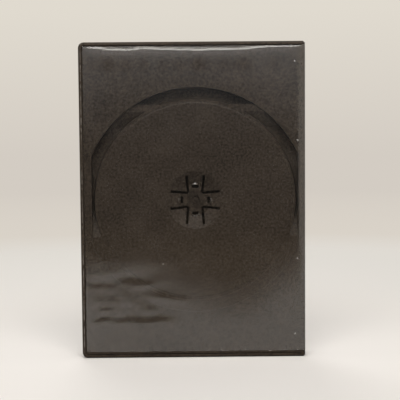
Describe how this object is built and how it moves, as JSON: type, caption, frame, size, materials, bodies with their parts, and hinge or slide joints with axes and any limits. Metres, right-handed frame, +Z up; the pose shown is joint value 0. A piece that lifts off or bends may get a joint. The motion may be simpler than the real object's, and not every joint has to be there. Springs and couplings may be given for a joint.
{
  "type": "disc keep case",
  "caption": "Upright hinged plastic keep case with a moulded disc tray, push-button hub, booklet clips and a clear film sleeve; opens like a book to hold a disc and a leaflet.",
  "frame": {"origin": "middle of the bottom edge, on the surface that the closed case stands on", "axes": "+Z up the case, +X towards the spine, +Y from the back of the tray to the front cover"},
  "size_m": [0.1351, 0.0142, 0.19],
  "materials": {
    "case_plastic": "fine matte grain",
    "clear_film": "clear, glossy"
  },
  "bodies": {
    "tray": {"disc_tray": "case_plastic", "film_back": "clear_film"},
    "spine": {"spine": "case_plastic", "film_spine": "clear_film"},
    "cover": {"front_cover": "case_plastic", "film_front": "clear_film"},
    "button": {"hub_button": "case_plastic"},
    "arm_top": {"hub_arm_top": "case_plastic"},
    "arm_left": {"hub_arm_left": "case_plastic"},
    "arm_bottom": {"hub_arm_bottom": "case_plastic"},
    "arm_right": {"hub_arm_right": "case_plastic"}
  },
  "joints": [
    {"name": "spine_hinge", "type": "hinge", "parent": "tray", "child": "spine", "pos_m": [0.0672, -0.0067, 0.095], "axis": [0, 0, -1], "range_deg": [0, 90]},
    {"name": "cover_hinge", "type": "hinge", "parent": "spine", "child": "cover", "pos_m": [0.0672, 0.0067, 0.095], "axis": [0, 0, -1], "range_deg": [0, 90]},
    {"name": "hub_press", "type": "slide", "parent": "tray", "child": "button", "axis": [0, -1, 0], "range_m": [0, 0.0012], "stiffness_N_per_m": 1500},
    {"name": "arm_top_tilt", "type": "hinge", "parent": "tray", "child": "arm_top", "pos_m": [0.0016, -0.00458, 0.10975], "axis": [-1, 0, 0], "range_deg": [0, 7]},
    {"name": "arm_left_tilt", "type": "hinge", "parent": "tray", "child": "arm_left", "pos_m": [-0.01265, -0.00458, 0.0955], "axis": [0, 0, -1], "range_deg": [0, 7]},
    {"name": "arm_bottom_tilt", "type": "hinge", "parent": "tray", "child": "arm_bottom", "pos_m": [0.0016, -0.00458, 0.08125], "axis": [1, 0, 0], "range_deg": [0, 7]},
    {"name": "arm_right_tilt", "type": "hinge", "parent": "tray", "child": "arm_right", "pos_m": [0.01585, -0.00458, 0.0955], "axis": [0, 0, 1], "range_deg": [0, 7]}
  ],
  "couplings": [
    {"joint": "arm_top_tilt", "follows": "hub_press", "rad_per_m": 99.5},
    {"joint": "arm_left_tilt", "follows": "hub_press", "rad_per_m": 99.5},
    {"joint": "arm_bottom_tilt", "follows": "hub_press", "rad_per_m": 99.5},
    {"joint": "arm_right_tilt", "follows": "hub_press", "rad_per_m": 99.5}
  ]
}
